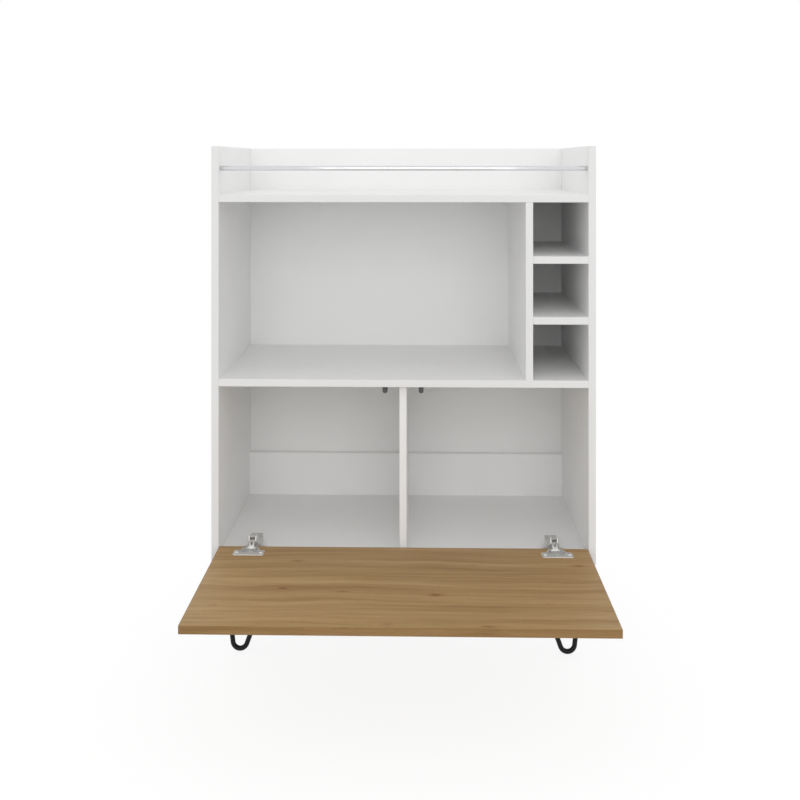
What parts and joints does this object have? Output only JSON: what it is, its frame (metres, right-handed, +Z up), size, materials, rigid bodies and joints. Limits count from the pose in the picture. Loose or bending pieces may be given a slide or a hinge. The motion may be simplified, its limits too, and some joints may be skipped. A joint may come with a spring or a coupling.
{
  "type": "bar cabinet with fold-down door",
  "caption": "Tall open bar cabinet on hairpin legs with a bottle rack, a gallery rod over the top and a fold-down door that makes a serving shelf.",
  "frame": {"origin": "on the floor, in the middle of the box round the cabinet with its door let down", "axes": "+Z up, +X to the right as seen from the front, +Y to the rear; the open front faces -Y"},
  "size_m": [0.78, 0.723, 1.046],
  "materials": {
    "white_board": "white melamine facing on particle board",
    "white_hardboard": "white lacquered hardboard",
    "oak_board": "oak-look facing, grain across the width",
    "chrome_rod": "polished",
    "nickel_steel": "nickel plated",
    "grey_plastic": "moulded, matt",
    "black_paint": "black powder coat"
  },
  "bodies": {
    "carcass": {"side_panel_left": "white_board", "side_panel_right": "white_board", "bottom_panel": "white_board", "middle_shelf": "white_board", "top_panel": "white_board", "centre_divider": "white_board", "back_rail": "white_board", "back_panel": "white_hardboard", "wine_rack_divider": "white_board", "rack_shelf_lower": "white_board", "rack_shelf_upper": "white_board", "gallery_rod": "chrome_rod", "hinge_arm_left": "nickel_steel", "hinge_arm_right": "nickel_steel", "hinge_plate_left": "nickel_steel", "hinge_plate_right": "nickel_steel", "plate_screw_left_1": "nickel_steel", "plate_screw_left_2": "nickel_steel", "plate_screw_right_1": "nickel_steel", "plate_screw_right_2": "nickel_steel", "catch_housing_left": "grey_plastic", "catch_housing_right": "grey_plastic", "catch_screw_left": "nickel_steel", "catch_screw_right": "nickel_steel", "hairpin_leg_front_left": "black_paint", "hairpin_leg_front_right": "black_paint", "hairpin_leg_rear_left": "black_paint", "hairpin_leg_rear_right": "black_paint", "leg_plate_front_left": "black_paint", "leg_plate_front_right": "black_paint", "leg_plate_rear_left": "black_paint", "leg_plate_rear_right": "black_paint", "leg_screw_front_left_1": "black_paint", "leg_screw_front_left_2": "black_paint", "leg_screw_front_left_3": "black_paint", "leg_screw_front_right_1": "black_paint", "leg_screw_front_right_2": "black_paint", "leg_screw_front_right_3": "black_paint", "leg_screw_rear_left_1": "black_paint", "leg_screw_rear_left_2": "black_paint", "leg_screw_rear_left_3": "black_paint", "leg_screw_rear_right_1": "black_paint", "leg_screw_rear_right_2": "black_paint", "leg_screw_rear_right_3": "black_paint"},
    "door": {"fold_down_door": "oak_board", "hinge_cup_left": "nickel_steel", "hinge_cup_right": "nickel_steel", "cup_pin_left": "nickel_steel", "cup_pin_right": "nickel_steel", "cup_screw_left_1": "nickel_steel", "cup_screw_left_2": "nickel_steel", "cup_screw_right_1": "nickel_steel", "cup_screw_right_2": "nickel_steel"},
    "link_left": {"hinge_link_left": "nickel_steel", "link_pin_left": "nickel_steel"},
    "link_right": {"hinge_link_right": "nickel_steel", "link_pin_right": "nickel_steel"},
    "plunger_left": {"catch_plunger_left": "grey_plastic"},
    "plunger_right": {"catch_plunger_right": "grey_plastic"}
  },
  "joints": [
    {"name": "door_fold", "type": "hinge", "parent": "carcass", "child": "door", "pos_m": [0, -0.0245, 0.217], "axis": [-1, 0, 0], "range_deg": [0, 90]},
    {"name": "link_left_turn", "type": "hinge", "parent": "door", "child": "link_left", "pos_m": [-0.307, -0.0315, 0.2315], "axis": [1, 0, 0], "range_deg": [0, 170]},
    {"name": "link_right_turn", "type": "hinge", "parent": "door", "child": "link_right", "pos_m": [0.307, -0.0315, 0.2315], "axis": [1, 0, 0], "range_deg": [0, 170]},
    {"name": "catch_left_push", "type": "slide", "parent": "carcass", "child": "plunger_left", "axis": [0, 1, 0], "range_m": [0, 0.004], "stiffness_N_per_m": 150, "springref_m": -0.008},
    {"name": "catch_right_push", "type": "slide", "parent": "carcass", "child": "plunger_right", "axis": [0, 1, 0], "range_m": [0, 0.004], "stiffness_N_per_m": 150, "springref_m": -0.008}
  ],
  "couplings": [
    {"joint": "link_left_turn", "follows": "door_fold", "ratio": 1.888},
    {"joint": "link_right_turn", "follows": "door_fold", "ratio": 1.888}
  ]
}
